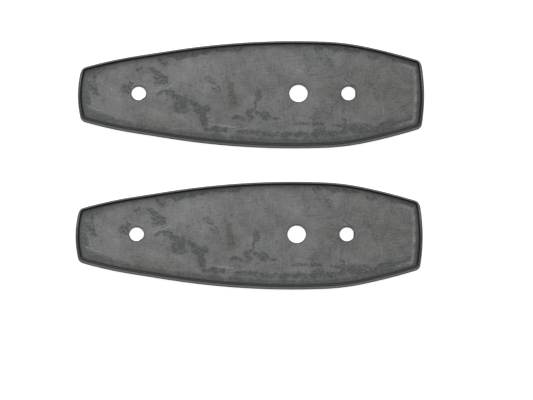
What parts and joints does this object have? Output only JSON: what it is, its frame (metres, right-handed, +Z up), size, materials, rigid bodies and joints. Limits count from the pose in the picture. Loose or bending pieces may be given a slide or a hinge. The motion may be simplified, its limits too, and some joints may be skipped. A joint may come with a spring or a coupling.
{
  "type": "mounting pad set",
  "caption": "Moulded rubber mounting pads: a flat floor in a low raised rim, stud holes and a larger wire hole, on a rounded outline that is wider at one end.",
  "frame": {"origin": "on the surface that the pads lie on, under the middle of the pair", "axes": "+X along the pads to their wide ends, +Y from the near pad to the far pad, +Z up out of the recesses"},
  "size_m": [0.185, 0.1342, 0.0055],
  "materials": {
    "rubber": "matte moulded rubber, bloomed and scuffed to grey on the recess floor"
  },
  "bodies": {
    "far_pad": {"far_pad": "rubber"},
    "near_pad": {"near_pad": "rubber"}
  },
  "joints": [
    {"name": "near_pad_lift", "type": "slide", "parent": "far_pad", "child": "near_pad", "axis": [0, 0, 1], "range_m": [0, 0.06]}
  ]
}
